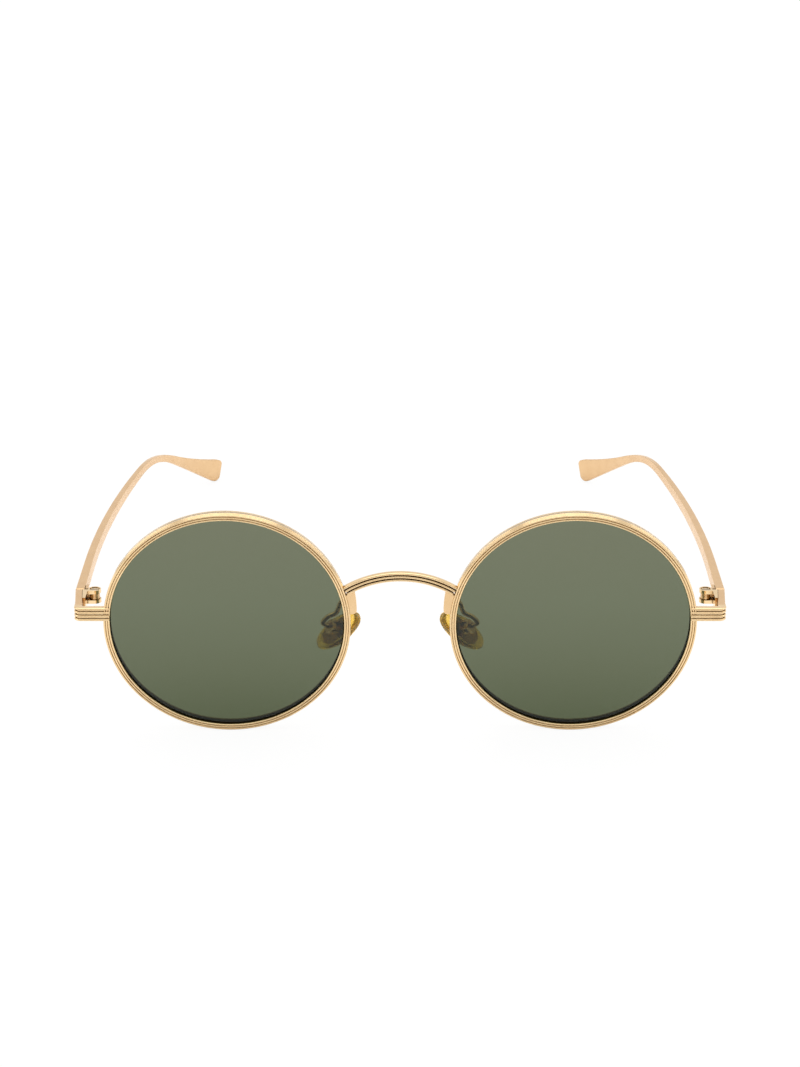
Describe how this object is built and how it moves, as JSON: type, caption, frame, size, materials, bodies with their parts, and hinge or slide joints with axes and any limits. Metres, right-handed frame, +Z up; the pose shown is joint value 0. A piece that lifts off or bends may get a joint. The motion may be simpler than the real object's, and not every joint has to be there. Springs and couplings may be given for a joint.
{
  "type": "sunglasses",
  "caption": "Round wire-frame metal sunglasses with ribbed rims and bridge, tinted lenses, folding flat temples with flared tips and rocking nose pads.",
  "frame": {"origin": "bottom centre of the bounding box of the open glasses as they rest on a table", "axes": "+Z up, +X towards the wearer's left, the lenses face -Y and the temples run towards +Y"},
  "size_m": [0.137, 0.14, 0.0514],
  "materials": {
    "polished_gold": "polished champagne gold plate",
    "satin_gold": "satin champagne gold plate",
    "insert_gold": "bright gold plate",
    "screw_steel": "small plated screws",
    "tinted_lens": "polished grey-green tint",
    "amber_pad": "clear amber, glossy"
  },
  "bodies": {
    "front": {"rim_left": "polished_gold", "rim_right": "polished_gold", "bridge": "polished_gold", "end_piece_left": "polished_gold", "end_piece_right": "polished_gold", "rim_lock_upper_left": "polished_gold", "rim_lock_upper_right": "polished_gold", "rim_lock_lower_left": "polished_gold", "rim_lock_lower_right": "polished_gold", "rim_lock_screw_left": "screw_steel", "rim_lock_screw_right": "screw_steel", "lens_left": "tinted_lens", "lens_right": "tinted_lens", "pad_arm_left": "polished_gold", "pad_arm_right": "polished_gold", "pad_screw_left": "screw_steel", "pad_screw_right": "screw_steel", "front_hinge_left": "satin_gold", "front_hinge_right": "satin_gold", "hinge_screw_left": "screw_steel", "hinge_screw_right": "screw_steel"},
    "left_temple": {"temple_left": "satin_gold", "temple_hinge_left": "satin_gold"},
    "left_pad": {"nose_pad_left": "amber_pad", "pad_insert_left": "insert_gold"},
    "right_temple": {"temple_right": "satin_gold", "temple_hinge_right": "satin_gold"},
    "right_pad": {"nose_pad_right": "amber_pad", "pad_insert_right": "insert_gold"}
  },
  "joints": [
    {"name": "left_temple_fold", "type": "hinge", "parent": "front", "child": "left_temple", "pos_m": [0.0645, -0.0576, 0.02733], "axis": [0, 0.0768, 0.997], "range_deg": [0, 82]},
    {"name": "right_temple_fold", "type": "hinge", "parent": "front", "child": "right_temple", "pos_m": [-0.0645, -0.0576, 0.02733], "axis": [0, -0.0768, -0.997], "range_deg": [0, 77]},
    {"name": "left_pad_rock", "type": "hinge", "parent": "front", "child": "left_pad", "pos_m": [0.0139, -0.0626, 0.0223], "axis": [0.2401, 0.759, 0.6052], "range_deg": [-8, 8]},
    {"name": "right_pad_rock", "type": "hinge", "parent": "front", "child": "right_pad", "pos_m": [-0.0139, -0.0626, 0.0223], "axis": [-0.2401, 0.759, 0.6052], "range_deg": [-8, 8]}
  ]
}
